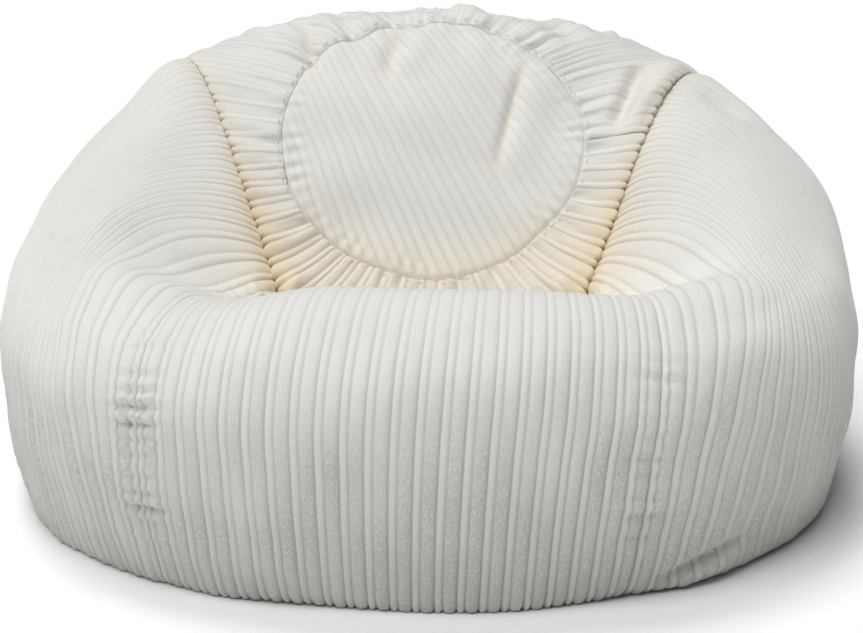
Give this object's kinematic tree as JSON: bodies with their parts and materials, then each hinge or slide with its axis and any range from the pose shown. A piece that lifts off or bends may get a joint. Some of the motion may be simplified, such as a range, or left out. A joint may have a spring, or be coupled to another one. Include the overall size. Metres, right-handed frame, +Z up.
{
  "type": "bean bag chair",
  "caption": "Low round bean bag chair in jumbo corduroy with a seat hollow, raised back, gathered border and round back panel.",
  "frame": {"origin": "centre of the flat underside, on the floor", "axes": "+Z up, front lip towards -Y, backrest towards +Y, sitter's right-hand arm towards -X"},
  "size_m": [0.9494, 0.9102, 0.4814],
  "materials": {
    "corduroy": "jumbo cord pile",
    "base_cloth": "plain weave",
    "thread": "matt",
    "zip_tape": "woven",
    "zip_coil": "satin",
    "zip_metal": "satin",
    "liner_cloth": "thin non-woven",
    "beads": "expanded foam beads"
  },
  "bodies": {
    "chair": {"front_panel": "corduroy", "left_side_panel": "corduroy", "right_side_panel": "corduroy", "left_back_panel": "corduroy", "right_back_panel": "corduroy", "gathered_border": "corduroy", "round_top_panel": "corduroy", "border_topstitch": "thread", "base_panel_front": "base_cloth", "base_panel_back": "base_cloth", "cover_zip_tape_front": "zip_tape", "cover_zip_tape_back": "zip_tape", "cover_zip_coil_front": "zip_coil", "cover_zip_coil_back": "zip_coil", "cover_zip_top_stops": "zip_metal", "cover_zip_bottom_stop": "zip_metal", "liner_bag": "liner_cloth", "liner_zip_tape_front": "zip_tape", "liner_zip_tape_back": "zip_tape", "liner_zip_coil_front": "zip_coil", "liner_zip_coil_back": "zip_coil", "liner_zip_top_stops": "zip_metal", "liner_zip_bottom_stop": "zip_metal", "bead_fill": "beads"},
    "cover_slider": {"cover_zip_slider": "zip_metal"},
    "liner_slider": {"liner_zip_slider": "zip_metal"}
  },
  "joints": [
    {"name": "cover_zip_slide", "type": "slide", "parent": "chair", "child": "cover_slider", "axis": [-1, 0, 0], "range_m": [0, 0.428]},
    {"name": "liner_zip_slide", "type": "slide", "parent": "chair", "child": "liner_slider", "axis": [-1, 0, 0], "range_m": [0, 0.288]}
  ]
}
